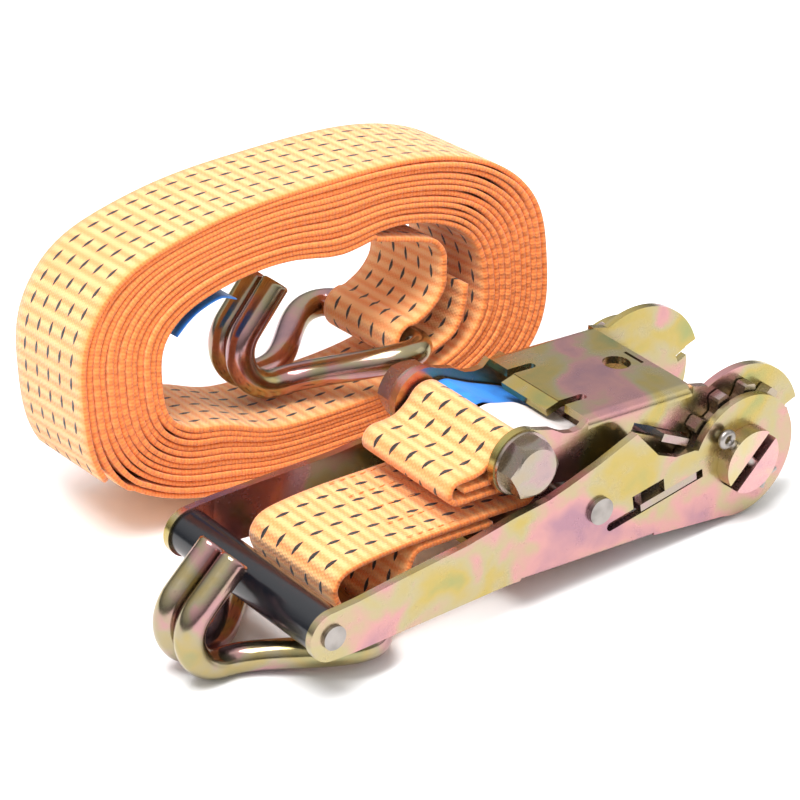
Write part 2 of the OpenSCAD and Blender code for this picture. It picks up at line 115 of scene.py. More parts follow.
def onCoil(u, d, v):
    along = coilAlong * ((u - coilSpot["barU"]) * mm)
    up = coilUp * ((v - coilSpot["barV"]) * mm)
    return barAt + along + up + coilDepth * ((d - coilSpot["barD"]) * mm)


class Sock:
    # a node's output that can be used in plain arithmetic
    def __init__(self, nodes, out):
        self.nodes = nodes
        self.out = out

    def maths(self, operation, *others):
        return self.nodes.maths(operation, self, *others)

    def __add__(self, other):
        return self.maths("ADD", other)

    def __radd__(self, other):
        return self.maths("ADD", other)

    def __sub__(self, other):
        return self.maths("SUBTRACT", other)

    def __rsub__(self, other):
        return self.nodes.maths("SUBTRACT", other, self)

    def __mul__(self, other):
        return self.maths("MULTIPLY", other)

    def __rmul__(self, other):
        return self.maths("MULTIPLY", other)

    def __truediv__(self, other):
        return self.maths("DIVIDE", other)

    def __rtruediv__(self, other):
        return self.nodes.maths("DIVIDE", other, self)

    def __lt__(self, other):
        return self.maths("LESS_THAN", other)

    def __gt__(self, other):
        return self.maths("GREATER_THAN", other)

    def sine(self):
        return self.maths("SINE")

    def size(self):
        return self.maths("ABSOLUTE")

    def part(self):
        return self.maths("FRACT")

    def floor(self):
        return self.maths("FLOOR")

    # 0 below low, 1 above high, smooth between
    def ramp(self, low, high):
        return self.nodes.add("ShaderNodeMapRange", {"interpolation_type": "SMOOTHSTEP"},
                              {"Value": self, "From Min": low, "From Max": high})


class Nodes:
    # a node tree under construction
    def __init__(self, tree):
        self.tree = tree

    def add(self, kind, settings=None, values=None, out=0):
        node = self.tree.nodes.new(kind)
        for name, value in (settings or {}).items():
            if name == "stops":
                self.setStops(node.color_ramp, value)
            else:
                setattr(node, name, value)
        for socket, value in (values or {}).items():
            if isinstance(value, Sock):
                self.tree.links.new(value.out, node.inputs[socket])
            else:
                node.inputs[socket].default_value = value
        return Sock(self, node.outputs[out])

    def setStops(self, ramp, stops):
        while len(ramp.elements) < len(stops):
            ramp.elements.new(0.5)
        for element, (place, colour) in zip(ramp.elements, stops):
            element.position = place
            element.color = (*colour, 1)

    def maths(self, operation, *inputs):
        return self.add("ShaderNodeMath", {"operation": operation}, dict(enumerate(inputs)))


class Finish(Nodes):
    # a material under construction
    def __init__(self, name, **constants):
        self.data = bpy.data.materials.new(name)
        self.data.use_nodes = True
        super().__init__(self.data.node_tree)
        self.shader = self.tree.nodes["Principled BSDF"]
        for socket, value in constants.items():
            self.shader.inputs[socket.replace("_", " ")].default_value = value

    def objectPlace(self, scale=(1, 1, 1)):
        spot = self.add("ShaderNodeTexCoord", out="Object")
        return self.add("ShaderNodeMapping", values={"Vector": spot, "Scale": scale})

    # how far across the strap from its middle, and how far along it, in metres
    def clothPlace(self):
        laid = self.add("ShaderNodeUVMap", {"uv_map": "cloth"})
        across = self.add("ShaderNodeSeparateXYZ", values={0: laid})
        return across, Sock(self, across.out.node.outputs["Y"])

    def noise(self, where, scale, detail, rough=0.5, distortion=0.0):
        return self.add("ShaderNodeTexNoise", values={
            "Vector": where, "Scale": scale, "Detail": detail, "Roughness": rough,
            "Distortion": distortion})

    def mix(self, share, first, second):
        colours = [value if isinstance(value, Sock) else (*value, 1) for value in (first, second)]
        values = {0: share, 6: colours[0], 7: colours[1]}
        return self.add("ShaderNodeMix", {"data_type": "RGBA"}, values, out=2)

    def bump(self, height, strength, distance):
        return self.add("ShaderNodeBump", values={
            "Height": height, "Strength": strength, "Distance": distance})

    def feed(self, socket, value):
        self.tree.links.new(value.out, self.shader.inputs[socket])


# lengths in metres
webbingLook = {
    "face": (0.93, 0.505, 0.205),
    "faceDeep": (0.86, 0.300, 0.085),
    "edge": (0.97, 0.290, 0.065),
    "edgeDeep": (0.84, 0.190, 0.032),
    "marker": (0.014, 0.011, 0.009),
    "half": 0.0250,
    "rib": 0.0043,          # one broad weft rib along the strap
    "weft": 0.00143,        # one thread of it
    "yarn": 0.00125,        # one warp yarn across it
    "weftRise": 0.20,
    "yarnRise": 0.16,
    "ribRise": 0.62,
    "ribWaver": 0.8,        # how far a rib strays from straight, in radians
    "rowGap": 0.0086,       # between two rows of marker threads
    "rowStart": 20.5,       # puts a row on the middle line
    "rowShift": 0.11,       # of two ribs, from one row to the next
    "dashShare": 0.66,      # of two ribs
    "dashHalf": 0.00088,    # half of its width at the middle
    "dashWaver": 0.10,
    "dashSlant": 0.12,
    "dashSoft": (-0.00008, 0.00010),
    "fray": 0.0004,         # raggedness of a dash's outline
    "bareEdge": 0.0035,     # no dash this close to the edge
    "hem": (0.0030, 0.0012),
    "hemShare": 0.45,
    "side": (0.0007, 0.0002),
    "patches": 55, "patchRange": (0.38, 0.72), "patchShare": 0.28,
    "fuzz": 900,
    "faceRange": (-0.85, 0.55),
    "sideRange": (0.1, 1.0),
    "relief": (0.6, 0.0005),
}


def makeWebbing():
    look = webbingLook
    fin = Finish("webbing", Roughness=0.82, Sheen_Weight=0.30, Sheen_Roughness=0.5)
    across, along = fin.clothPlace()
    turn = 2 * math.pi
    yarn = across / look["yarn"]
    odd = (yarn.floor() * 0.5).part() * 2
    weft = (along / look["weft"] * turn + odd * math.pi).sine()
    column = (yarn * turn).sine()
    spread = fin.noise(fin.objectPlace(), look["patches"], 3)
    fine = fin.noise(fin.objectPlace(), look["fuzz"], 2)
    strayed = (spread - 0.5) * look["ribWaver"]
    rib = (along / look["rib"] * turn - 0.25 * turn + strayed).sine()
    weave = weft * look["weftRise"] + column * look["yarnRise"] + rib * look["ribRise"]

    # dashes of dark thread, pointed at both ends
    row = across / look["rowGap"] + look["rowStart"]
    late = row.floor() * look["rowShift"]
    beat = (along / (look["rib"] * 2) + late + fine * look["dashWaver"]).part()
    fromDash = (beat - 0.5).size() / (look["dashShare"] / 2)
    slant = (beat - 0.5) * look["dashSlant"]
    fromRow = ((row + slant).part() - 0.5).size() * look["rowGap"]
    reach = (1 - fromDash * fromDash) * look["dashHalf"]
    inside = across.size() < look["half"] - look["bareEdge"]
    marker = (reach - fromRow + (fine - 0.5) * look["fray"]).ramp(*look["dashSoft"]) * inside

    # the colours run from the face through its hem to the strap's side
    edge = across.size().ramp(*(look["half"] - inset for inset in look["side"]))
    border = across.size().ramp(*(look["half"] - inset for inset in look["hem"]))
    face = fin.mix(weave.ramp(*look["faceRange"]), look["faceDeep"], look["face"])
    patchy = fin.mix(spread.ramp(*look["patchRange"]) * look["patchShare"], face, look["faceDeep"])
    hem = fin.mix(border * look["hemShare"], patchy, look["edge"])
    threads = (weft * 0.35 + fine * 1.3).ramp(*look["sideRange"])
    side = fin.mix(threads, look["edgeDeep"], look["edge"])
    cloth = fin.mix(edge, hem, side)
    fin.feed("Base Color", fin.mix(marker, cloth, look["marker"]))
    fin.feed("Normal", fin.bump(weave + marker * 0.6 + fine * 0.7, *look["relief"]))
    fin.feed("Roughness", fine * 0.2 + 0.68)
    return fin.data


zincLook = {
    "green": (0.30, 0.33, 0.14),
    "yellow": (0.48, 0.37, 0.12),
    "pale": (0.45, 0.385, 0.22),
    "pink": (0.58, 0.30, 0.29),
    "violet": (0.40, 0.22, 0.27),
    "stops": {"green": 0.30, "yellow": 0.41, "pale": 0.49, "pink": 0.57, "violet": 0.70},
    "plain": (0.40, 0.34, 0.33),        # what a greyer zinc leans to
    "dirt": (0.16, 0.13, 0.09), "dirtRange": (0.60, 0.76), "dirtShare": 0.45,
    "grain": 420,
    "drawn": (30, 700, 700),            # fine lines along the sheet
    "relief": (0.16, 0.0002),
}


# passivated zinc: soft patches of yellow, green and pink over bright metal
def makeZinc(name, dim=1.0, rough=0.23, patch=30, metal=0.96, grey=0.0):
    stops = []
    for tone, place in zincLook["stops"].items():
        pairs = zip(zincLook[tone], zincLook["plain"])
        stops.append((place, tuple((c * (1 - grey) + p * grey) * dim for c, p in pairs)))
    fin = Finish(name, Metallic=metal, Roughness=rough)
    where = fin.objectPlace()
    slow = fin.noise(where, patch, 2, 0.45, 0.6)
    mid = fin.noise(where, patch * 3.1, 3, 0.55, 0.3)
    grain = fin.noise(fin.objectPlace(), zincLook["grain"], 4, 0.65)
    drawn = fin.noise(fin.objectPlace(zincLook["drawn"]), 1, 2)
    tint = fin.add("ShaderNodeValToRGB", {"stops": stops}, {0: slow * 0.8 + mid * 0.22})
    dirty = (grain * 0.6 + mid * 0.4).ramp(*zincLook["dirtRange"]) * zincLook["dirtShare"]
    dirt = [channel * dim for channel in zincLook["dirt"]]
    fin.feed("Base Color", fin.mix(dirty, tint, dirt))
    fin.feed("Roughness", mid * 0.16 + grain * 0.12 + (rough - 0.12))
    fin.feed("Normal", fin.bump(grain * 0.6 + drawn * 0.5, *zincLook["relief"]))
    return fin.data


steelLook = {
    "grain": 600,
    "blot": 90, "blotRange": (0.35, 0.72), "shade": 0.55,
    "relief": (0.14, 0.00015),
}


def makeSteel(name, colour, rough):
    fin = Finish(name, Metallic=1.0, Roughness=rough)
    grain = fin.noise(fin.objectPlace(), steelLook["grain"], 4, 0.6)
    blot = fin.noise(fin.objectPlace(), steelLook["blot"], 3)
    dark = [channel * steelLook["shade"] for channel in colour]
    fin.feed("Base Color", fin.mix(blot.ramp(*steelLook["blotRange"]), colour, dark))
    fin.feed("Roughness", grain * 0.25 + (rough - 0.10))
    fin.feed("Normal", fin.bump(grain, *steelLook["relief"]))
    return fin.data


gripLook = {
    "black": (0.004, 0.005, 0.008),
    "worn": (0.022, 0.024, 0.03), "wornRange": (0.60, 0.80), "wornShare": 0.5,
    "ripple": (120, 12, 120),
    "scuff": (500, 60, 500),
    "relief": (0.10, 0.0005),
}


def makeGrip():
    fin = Finish("gripBlack", Metallic=0.0, Roughness=0.3, Coat_Weight=0.15, Coat_Roughness=0.08)
    ripple = fin.noise(fin.objectPlace(gripLook["ripple"]), 1, 3)
    scuff = fin.noise(fin.objectPlace(gripLook["scuff"]), 1, 4, 0.6)
    worn = scuff.ramp(*gripLook["wornRange"]) * gripLook["wornShare"]
    fin.feed("Base Color", fin.mix(worn, gripLook["black"], gripLook["worn"]))
    fin.feed("Roughness", scuff * 0.22 + 0.12)
    fin.feed("Normal", fin.bump(ripple + scuff * 0.25, *gripLook["relief"]))
    return fin.data


# lengths in metres
ribbonLook = {
    "thread": 0.0004,
    "border": (0.0095, 0.0101), "borderShare": 0.4,
    "crease": 60, "creaseRange": (0.35, 0.7),
    "relief": (0.25, 0.0002),
}


def makeRibbonCloth(name, colour, shade, gloss):
    fin = Finish(name, Roughness=gloss, Sheen_Weight=0.1)
    across, along = fin.clothPlace()
    warp = (across / ribbonLook["thread"] * 2 * math.pi).sine()
    weft = (along / ribbonLook["thread"] * 2 * math.pi).sine()
    crease = fin.noise(fin.objectPlace(), ribbonLook["crease"], 3)
    border = across.size().ramp(*ribbonLook["border"])
    tone = fin.mix(crease.ramp(*ribbonLook["creaseRange"]), colour, shade)
    fin.feed("Base Color", fin.mix(border * ribbonLook["borderShare"], tone, shade))
    fin.feed("Roughness", crease * 0.2 + (gloss - 0.1))
    thread = warp * 0.5 + weft * 0.5
    fin.feed("Normal", fin.bump(thread * 0.25 + crease * 2, *ribbonLook["relief"]))
    return fin.data


looks = {
    "webbing": makeWebbing(),
    "zinc_yellow": makeZinc("zincYellow", dim=0.88),
    "zinc_dark": makeZinc("zincDark", dim=0.85, rough=0.24, patch=60, metal=0.98, grey=0.65),
    "spindle_zinc": makeZinc("spindleZinc", dim=1.1, rough=0.24, patch=34, grey=0.15),
    "hookZinc": makeZinc("hookZinc", dim=0.74, rough=0.17, patch=42, metal=0.98, grey=0.2),
    "rivet_steel": makeSteel("rivetSteel", (0.36, 0.33, 0.31), 0.34),
    "spring_steel": makeSteel("springSteel", (0.10, 0.095, 0.09), 0.42),
    "grip_black": makeGrip(),
    "label_blue": makeRibbonCloth("labelBlue", (0.012, 0.25, 0.78), (0.008, 0.12, 0.48), 0.5),
    "label_white": makeRibbonCloth("labelWhite", (0.86, 0.80, 0.78), (0.66, 0.58, 0.57), 0.55),
}

for subpart in frame["record"]["subparts"]:
    mesh = nodes[subpart["node"]].data
    mesh.materials.clear()
    mesh.materials.append(looks[subpart["material_slot"]])
print("finishes made")


def arc(centre, radius, start, stop, count):
    steps = [math.radians(start + (stop - start) * i / count) for i in range(count + 1)]
    return [(centre[0] + radius * math.cos(t), centre[1] + radius * math.sin(t)) for t in steps]


# a rounded curve through the points, at even steps
def smooth(points, step, between=24):
    rough = [np.array(p, float) for p in points]
    rough = [2 * rough[0] - rough[1]] + rough + [2 * rough[-1] - rough[-2]]
    dense = []
    for a, b, c, d in zip(rough, rough[1:], rough[2:], rough[3:]):
        for t in np.linspace(0, 1, between, endpoint=False):
            dense.append(0.5 * (2 * b + (c - a) * t + (2 * a - 5 * b + 4 * c - d) * t**2
                                + (3 * b - a - 3 * c + d) * t**3))
    dense.append(rough[-2])
    return evenly(np.array(dense), step)


def evenly(dense, step):
    walked = np.concatenate([[0], np.cumsum(np.linalg.norm(np.diff(dense, axis=0), axis=1))])
    count = max(2, int(round(walked[-1] / step)))
    goal = np.linspace(0, walked[-1], count + 1)
    return np.stack([np.interp(goal, walked, dense[:, k]) for k in range(dense.shape[1])], 1)


def finishMesh(name, verts, faces, look, uvs=None):
    mesh = bpy.data.meshes.new(name)
    mesh.from_pydata([tuple(v) for v in verts], [], faces)
    mesh.materials.append(look)
    if uvs is not None:
        layer = mesh.uv_layers.new(name="cloth")
        corners = np.array([uvs[i] for face in faces for i in face], np.float32)
        layer.data.foreach_set("uv", corners.ravel())
    mesh.polygons.foreach_set("use_smooth", [True] * len(mesh.polygons))
    piece = bpy.data.objects.new(name, mesh)
    bpy.context.scene.collection.objects.link(piece)
    return piece


# how thick a strap is across its width, in shares of the width and of the thickness
strapSection = {
    "across": (-0.5, -0.492, -0.40, -0.2, 0.0, 0.2, 0.40, 0.492, 0.5),
    "thick": (0.45, 0.92, 1, 1, 1, 1, 1, 0.92, 0.45),
}


# a woven strap that follows a path in side view; place() puts (x, depth, y) in the shared frame
def strapMesh(name, path, place, middle, sizes, look, wander=None, thick=None):
    path = np.array(path)
    ahead = np.gradient(path, axis=0)
    ahead /= np.linalg.norm(ahead, axis=1, keepdims=True)
    out = np.stack([-ahead[:, 1], ahead[:, 0]], 1)
    run = np.concatenate([[0], np.cumsum(np.linalg.norm(np.diff(path, axis=0), axis=1))])
    width = sizes["width"]
    thick = np.full(len(path), sizes["thick"]) if thick is None else thick
    shift = np.zeros(len(path)) if wander is None else wander
    columns = list(zip(strapSection["across"], strapSection["thick"]))
    ring = [(c, t, 1) for c, t in columns] + [(c, t, -1) for c, t in columns[::-1]]
    verts, uvs, faces = [], [], []
    for i in range(len(path)):
        for c, t, side in ring:
            spot = path[i] + out[i] * side * t * thick[i] / 2
            verts.append(place(spot[0], middle + shift[i] + c * width, spot[1]))
            uvs.append((c * width * mm, run[i] * mm))
    n = len(ring)
    for i in range(len(path) - 1):
        for k in range(n):
            m = (k + 1) % n
            faces.append((i * n + k, i * n + m, (i + 1) * n + m, (i + 1) * n + k))
    faces.append(tuple(range(n))[::-1])
    faces.append(tuple((len(path) - 1) * n + k for k in range(n)))
    piece = finishMesh(name, verts, faces, look, uvs)
    outward(piece)
    return piece, run[-1] * mm


def outward(piece):
    work = bmesh.new()
    work.from_mesh(piece.data)
    bmesh.ops.recalc_face_normals(work, faces=work.faces)
    work.to_mesh(piece.data)
    work.free()


# a round wire along points in metres; tip is the chamfer at its ends
def tubeMesh(name, path, radius, look, sides, tip=0.0):
    path = [Vector(p) for p in path]
    count = len(path)
    ahead = [(path[min(i + 1, count - 1)] - path[max(i - 1, 0)]).normalized() for i in range(count)]
    aside = ahead[0].orthogonal().normalized()
    rings = []
    for i in range(count):
        aside = (aside - ahead[i] * aside.dot(ahead[i])).normalized()
        other = ahead[i].cross(aside)
        rings.append((path[i], aside.copy(), other, radius))
    if tip:
        first, last = rings[0], rings[-1]
        rings[0] = (first[0], first[1], first[2], radius - tip)
        rings.insert(1, (first[0] + ahead[0] * tip, first[1], first[2], radius))
        rings[-1] = (last[0], last[1], last[2], radius - tip)
        rings.insert(-1, (last[0] - ahead[-1] * tip, last[1], last[2], radius))
    verts, faces = [], []
    for centre, one, two, size in rings:
        for k in range(sides):
            t = 2 * math.pi * k / sides
            verts.append(centre + (one * math.cos(t) + two * math.sin(t)) * size)
    for i in range(len(rings) - 1):
        for k in range(sides):
            m = (k + 1) % sides
            faces.append((i * sides + k, i * sides + m, (i + 1) * sides + m, (i + 1) * sides + k))
    for base, order in ((0, -1), ((len(rings) - 1) * sides, 1)):
        faces.append(tuple(base + k for k in range(sides))[::order])
    piece = finishMesh(name, verts, faces, look)
    outward(piece)
    return piece


# The long strap is the rolled coil and the eye that holds its hook.
# Lengths are in mm and angles in degrees; an arc goes from one angle to another in so many steps.
coil = {
    "halfLong": 101.4, "halfHigh": 56.6,       # middle of the outermost turn
    "holeLong": 68.0, "holeHigh": 30.6,        # middle of the innermost turn
    "drop": 1.5,
    "roofSag": 4.5, "roofSagAt": 10.0, "roofSagWide": 16.0,
    "floorRise": 6.0, "floorRiseAt": -48.0, "floorRiseWide": 15.0,
    "turns": 13.35, "stepsPerTurn": 150, "step": 2.9,
    "startAngle": 205.0,
    "squareness": 0.715,
    "width": 50.0, "thick": 1.95, "packed": 0.93, "thinnest": 0.9,
    "wander": 0.55, "wanderWaves": 9, "wanderSeed": 11,
    "waver": 0.09, "waverWaves": 5, "waverSeed": 4, "waverPace": 2.3,
    "loose": 3.4, "looseTurns": 3.0, "looseAt": 222.0, "looseWide": 34,
    "dent": 1.5, "dentTurns": 6, "dentAt": 112.0, "dentWide": 20,
    "floorFrom": -0.6,                         # below this no turn bulges into the floor
    "upright": 0.8,                            # how much of the slack shows upwards
    "cutU": 14, "cutV": 20,                    # the last turn ends once it is past both
}


# 1 at the angle, falling off to 0 on both sides of it
def near(degrees, at, wide):
    away = (degrees - at + 180) % 360 - 180
    return math.exp(-(away / wide) ** 2)


# how far the innermost turns hang down from the roof, or heap up from the floor
def holeBump(x, d):
    if d > 0:
        return -coil["roofSag"] * d * math.exp(-((x - coil["roofSagAt"]) / coil["roofSagWide"]) ** 2)
    return coil["floorRise"] * -d * math.exp(-((x - coil["floorRiseAt"]) / coil["floorRiseWide"]) ** 2)


def coilPath():
    steps = int(coil["turns"] * coil["stepsPerTurn"])
    grown = random.Random(coil["waverSeed"])
    waves = [(grown.uniform(0, 6.3), grown.uniform(0.6, 1.4)) for _ in range(coil["waverWaves"])]
    points = []
    for i in range(steps + 1):
        s = i / steps
        t = math.radians(coil["startAngle"]) - 2 * math.pi * coil["turns"] * s
        angle = math.degrees(t)
        a = coil["halfLong"] + (coil["holeLong"] - coil["halfLong"]) * s
        b = coil["halfHigh"] + (coil["holeHigh"] - coil["halfHigh"]) * s
        turn = coil["turns"] * s
        slack = sum(coil["waver"] * math.sin(start + pace * (k + 1) * coil["waverPace"] * t)
                    for k, (start, pace) in enumerate(waves))
        looseShare = max(0, 1 - turn / coil["looseTurns"])
        dentShare = max(0, 1 - turn / coil["dentTurns"])
        slack += coil["loose"] * near(angle, coil["looseAt"], coil["looseWide"]) * looseShare
        slack -= coil["dent"] * near(angle, coil["dentAt"], coil["dentWide"]) * dentShare
        c, d = math.cos(t), math.sin(t)
        rise = slack if d > coil["floorFrom"] else min(slack, 0)
        square = coil["squareness"]
        x = math.copysign(abs(c) ** square, c) * (a + slack)
        y = math.copysign(abs(d) ** square, d) * (b + rise * coil["upright"]) - coil["drop"] * s
        points.append((x, y + holeBump(x, d) * s))
    return points


# the eye's way from the winding round the hook's bar and back
longEye = {
    "wrap": 7.9, "wrapArc": (78, 288, 12), "step": 1.6,
    "lead": (26, 27.6),
    "down": [(37, 24.4), (45.0, 22.0)],
    "bendAt": (44.3, 11.6), "bend": 10.3, "bendArc": (72, -15, 5),
    "toBar": [(53.0, 1.0), (47.5, -5.5)],
    "back": [(47.5, -22.6), (56.5, -18.4), (61.5, -9.5), (63.3, -1)],
}


def longStrapPath():
    bar = (coilSpot["barU"], coilSpot["barV"])
    eye = longEye["down"] + arc(longEye["bendAt"], longEye["bend"], *longEye["bendArc"])[1:]
    eye += longEye["toBar"] + arc(bar, longEye["wrap"], *longEye["wrapArc"]) + longEye["back"]
    spiral = coilPath()
    last = len(spiral) - coil["stepsPerTurn"]
    past = [i for i, (u, v) in enumerate(spiral)
            if i > last and v > coil["cutV"] and u > coil["cutU"]]
    spiral = spiral[:past[0]] if past else spiral
    rolled = evenly(np.array(spiral), coil["step"])
    tail = smooth([tuple(rolled[-1]), longEye["lead"]] + eye, longEye["step"])
    return np.vstack([rolled[:-1], tail])


# each turn nearly fills the room between it and the next
def windingThickness(path):
    ahead = np.gradient(path, axis=0)
    ahead /= np.linalg.norm(ahead, axis=1, keepdims=True)
    wound = np.arange(len(path)) < len(coilPath())
    sideways = (coil["halfLong"] - coil["holeLong"]) / coil["turns"]
    upward = (coil["halfHigh"] - coil["holeHigh"]) / coil["turns"]
    heaped = np.array([abs(holeBump(x, math.copysign(1, y))) for x, y in path]) / coil["turns"]
    pitch = sideways * ahead[:, 1] ** 2 + (upward + heaped) * ahead[:, 0] ** 2
    layer = np.maximum(pitch * coil["packed"], coil["thick"] * coil["thinnest"])
    return np.where(wound, layer, coil["thick"])


def makeLongStrap():
    path = longStrapPath()
    run = np.arange(len(path))
    drift = random.Random(coil["wanderSeed"])
    wander = np.zeros(len(path))
    for _ in range(coil["wanderWaves"]):
        pace = drift.uniform(0.01, 0.11)
        start = drift.uniform(0, 6.3)
        size = drift.uniform(0.1, 0.3)
        wander += coil["wander"] * size * np.sin(run * pace + start)
    thick = windingThickness(np.array(path))
    piece, length = strapMesh("long_strap", path, onCoil, coilSpot["barD"], coil, looks["webbing"],
                              wander, thick)
    print("long strap", round(length, 3), "m")
    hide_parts("long_strap_coil", "long_strap_eye")
    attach(piece, "handle")


makeLongStrap()


# The short strap runs from inside the handle round the hook's bar, folds, and loops the anchor bolt.
shortStrap = {
    "width": 50.0, "thick": 2.2, "step": 1.5,
    "barX": 33.0, "barY": 1, "barZ": -7.3,
    "wrap": 7.8, "wrapArc": (12, -160, 10),
    "boltWrap": 7.6, "boltArc": (132, -92, 12),
    "inner": [(84, 19.6), (60, 19.4), (50.5, 18.6), (47.6, 14), (44.8, 5), (41.6, -3)],
    "upper": [(20.5, 0.5), (15.4, 10.5), (15.6, 15.5), (19.5, 19.2), (29, 21.2), (42, 22.4),
              (56, 23.0), (80, 23.6), (96, 23.7)],
    "rightFoldAt": (98, 28.1), "rightFold": 4.5, "rightArc": (-80, 80, 6),
    "middle": [(94, 32.6), (80, 32.7), (69, 32.6)],
    "leftFoldAt": (67.5, 36.9), "leftFold": 4.3, "leftArc": (262, 98, 6),
    "rise": [(71, 41.4), (76.5, 42.4), (81.5, 45.9)],
    "tail": [(84.5, 37.2), (76, 37.0), (69.5, 37.0)],
}


def shortStrapPath():
    strap = shortStrap
    bar = (strap["barX"], strap["barZ"])
    bolt = (ratchet["boltX"], ratchet["boltZ"])
    eye = strap["inner"] + arc(bar, strap["wrap"], *strap["wrapArc"]) + strap["upper"]
    fold = arc(strap["rightFoldAt"], strap["rightFold"], *strap["rightArc"]) + strap["middle"]
    fold += arc(strap["leftFoldAt"], strap["leftFold"], *strap["leftArc"])
    loop = strap["rise"] + arc(bolt, strap["boltWrap"], *strap["boltArc"]) + strap["tail"]
    return smooth(eye + fold + loop, strap["step"])


def makeShortStrap():
    path = shortStrapPath()
    piece, length = strapMesh("short_strap", path, onRatchet, 0.0, shortStrap, looks["webbing"])
    print("short strap", round(length, 3), "m")
    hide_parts("short_strap_eye", "short_strap_fold", "short_strap_bolt_loop")
    onRatchet(80, 0, 25.5)
    onRatchet(80, 0, 35.5)
    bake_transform(piece)


makeShortStrap()


# blank labels sewn into the loop round the bolt
labelStep = 1.0
labels = {
    "blue": {
        "width": 21.5, "thick": 0.5, "middle": 14.0,
        "path": [(95, 51.4), (99, 51.6), (103.5, 49.9), (110, 47.2), (118, 44.4), (126, 41.6),
                 (132, 39.2)],
    },
    "white": {
        "width": 24.0, "thick": 0.5, "middle": -11.5,
        "path": [(95, 52.0), (99, 52.3), (104, 51.2), (111, 49.6), (117, 46.6), (123, 43.8),
                 (128, 42.8)],
    },
}


def makeLabel(colour):
    sizes = labels[colour]
    path = smooth(sizes["path"], labelStep)
    piece, length = strapMesh("label_" + colour + "_ribbon", path, onRatchet, sizes["middle"], sizes,
                              looks["label_" + colour])
    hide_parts("label_" + colour)
    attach(piece, "frame")


for colour in labels:
    makeLabel(colour)


# a blank ribbon sewn under the innermost turn, with its end hanging loose
coilLabel = {
    "width": 26.0, "thick": 0.5, "middle": 14.0,
    "path": [(-62, 14.0), (-56, 18.8), (-50, 21.8), (-42, 23.6), (-36, 21.4)],
}


def makeCoilLabel():
    path = smooth(coilLabel["path"], labelStep)
    piece, length = strapMesh("coil_label_ribbon", path, onCoil, coilLabel["middle"], coilLabel,
                              looks["label_blue"])
    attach(piece, "handle")
    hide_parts("coil_label")


makeCoilLabel()
print("straps and labels made")


# a hook of round wire: two prongs side by side, spread to a crossbar that the strap goes round
hook = {
    "wire": 5.5, "sides": 32, "chamfer": 0.7, "step": 1.6,
    "bend": 14.5, "back": 50.5, "up": 7.2, "prong": 21.0, "apart": 6.3, "tipAngle": 137.0,
    "half": 33.0, "corner": 8.0,
    "leave": 17.0, "arrive": 16.0,             # how stiffly the wire sweeps from prong to corner
    "bendSteps": 14, "sweepSteps": 12, "cornerSteps": 6,
}


# from a prong's tip to the middle of the crossbar, with the crossbar's axis through the origin
def hookHalf(side):
    y = side * hook["apart"]
    bend = hook["bend"]
    centre = (-hook["back"], hook["up"])
    angle = math.radians(hook["tipAngle"])
    ahead = (math.sin(angle), -math.cos(angle))
    top = (centre[0] + bend * math.cos(angle), centre[1] + bend * math.sin(angle))
    points = []
    for along in (hook["prong"], hook["prong"] * 0.5):
        points.append((top[0] + along * ahead[0], y, top[1] + along * ahead[1]))
    points += [(x, y, z) for x, z in arc(centre, bend, hook["tipAngle"], 270, hook["bendSteps"])]
    low = hook["up"] - bend
    wide = side * hook["half"]
    ends = [np.array(p, float) for p in (
        (-hook["back"], y, low), (-hook["back"] + hook["leave"], y, low),
        (-hook["corner"] - hook["arrive"], wide, 0), (-hook["corner"], wide, 0))]
    for i in range(1, hook["sweepSteps"]):
        t = i / hook["sweepSteps"]
        u = 1 - t
        spot = u**3 * ends[0] + 3 * u * u * t * ends[1] + 3 * u * t * t * ends[2] + t**3 * ends[3]
        points.append(tuple(spot))
    turn = arc((-hook["corner"], hook["half"] - hook["corner"]), hook["corner"], 90, 0,
               hook["cornerSteps"])
    points += [(x, side * y, 0) for x, y in turn]
    points.append((0, side * (hook["half"] - hook["corner"]) / 2, 0))
    return points


def makeHook(name, node, body, place):
    centreline = hookHalf(1) + [(0, 0, 0)] + hookHalf(-1)[::-1]
    route = [place(*p) for p in smooth(centreline, hook["step"])]
    piece = tubeMesh(name, route, hook["wire"] * mm, looks["hookZinc"], hook["sides"],
                     hook["chamfer"] * mm)
    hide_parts(node)
    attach(piece, body)


def onShortBar(x, y, z):
    return onRatchet(shortStrap["barX"] + x, shortStrap["barY"] + y, shortStrap["barZ"] + z)


def onLongBar(x, y, z):
    return onCoil(coilSpot["barU"] + x, coilSpot["barD"] + y, coilSpot["barV"] + z)


makeHook("short_wire_hook", "short_hook", "short_hook", onShortBar)
makeHook("long_wire_hook", "long_hook", "long_hook", onLongBar)
print("hooks made")


# coil springs behind the pawls; a tilt is how many degrees the end towards the grip dips
springs = {
    "turns": 8, "wire": 0.45, "sides": 8, "stepsPerTurn": 20,
    "drive": {"length": 12.4, "radius": 2.1, "tilt": 13},
    "lock": {"length": 8.4, "radius": 2.5, "tilt": -23},
}


